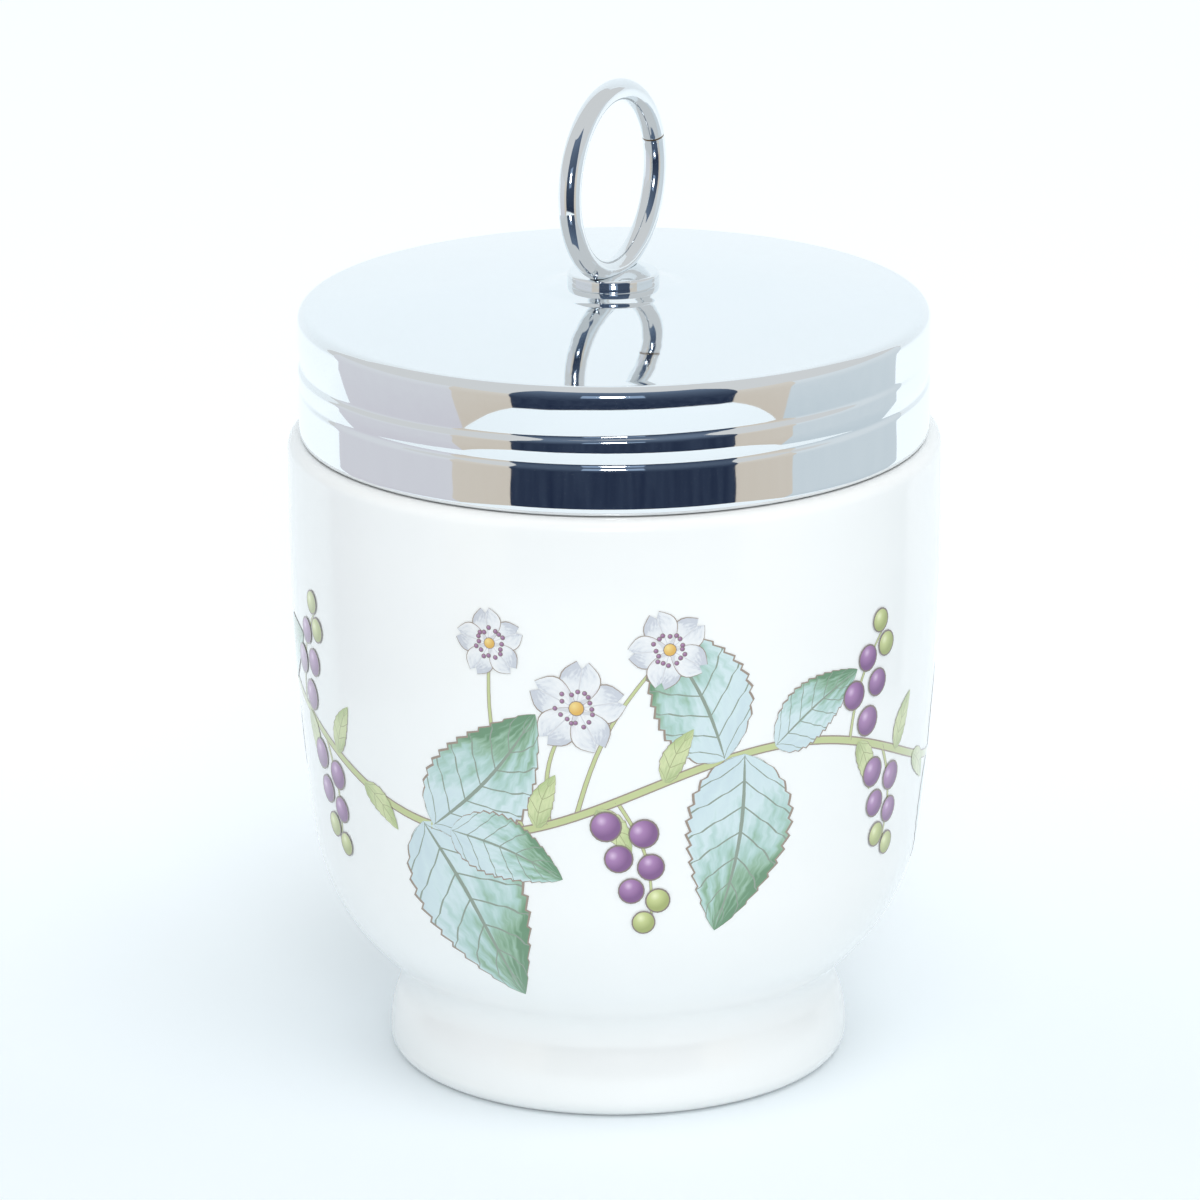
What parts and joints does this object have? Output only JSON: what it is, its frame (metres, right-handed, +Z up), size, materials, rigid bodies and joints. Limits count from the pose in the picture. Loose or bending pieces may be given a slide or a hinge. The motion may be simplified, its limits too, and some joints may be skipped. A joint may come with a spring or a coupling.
{
  "type": "egg coddler",
  "caption": "Footed porcelain cup with a screw-on chromed metal cap and an upright wire ring for lifting it.",
  "frame": {"origin": "middle of the foot ring's underside", "axes": "+Z up along the cup's axis, -Y to the front, +X to the right as seen from the front"},
  "size_m": [0.0664, 0.0664, 0.1023],
  "materials": {
    "porcelain": "white porcelain with a clear gloss glaze and a printed sprig border",
    "chromed_cap": "pressed sheet metal with bright chrome plating",
    "chromed_wire": "bright chrome plating on round wire and on the rivet head",
    "washer_steel": "plain steel washer"
  },
  "bodies": {
    "cup": {"porcelain_cup": "porcelain"},
    "riser": {"rivet_washer": "washer_steel"},
    "lid": {"lid_cap": "chromed_cap", "lid_ring": "chromed_wire", "ring_rivet": "chromed_wire"}
  },
  "joints": [
    {"name": "lid_rise", "type": "slide", "parent": "cup", "child": "riser", "axis": [0, 0, 1], "range_m": [0, 0.015]},
    {"name": "lid_turn", "type": "hinge", "parent": "riser", "child": "lid", "pos_m": [0, 0, 0.0806], "axis": [0, 0, 1], "range_deg": [0, 1800]}
  ],
  "couplings": [
    {"joint": "lid_rise", "follows": "lid_turn", "m_per_rad": 0.00047746}
  ]
}
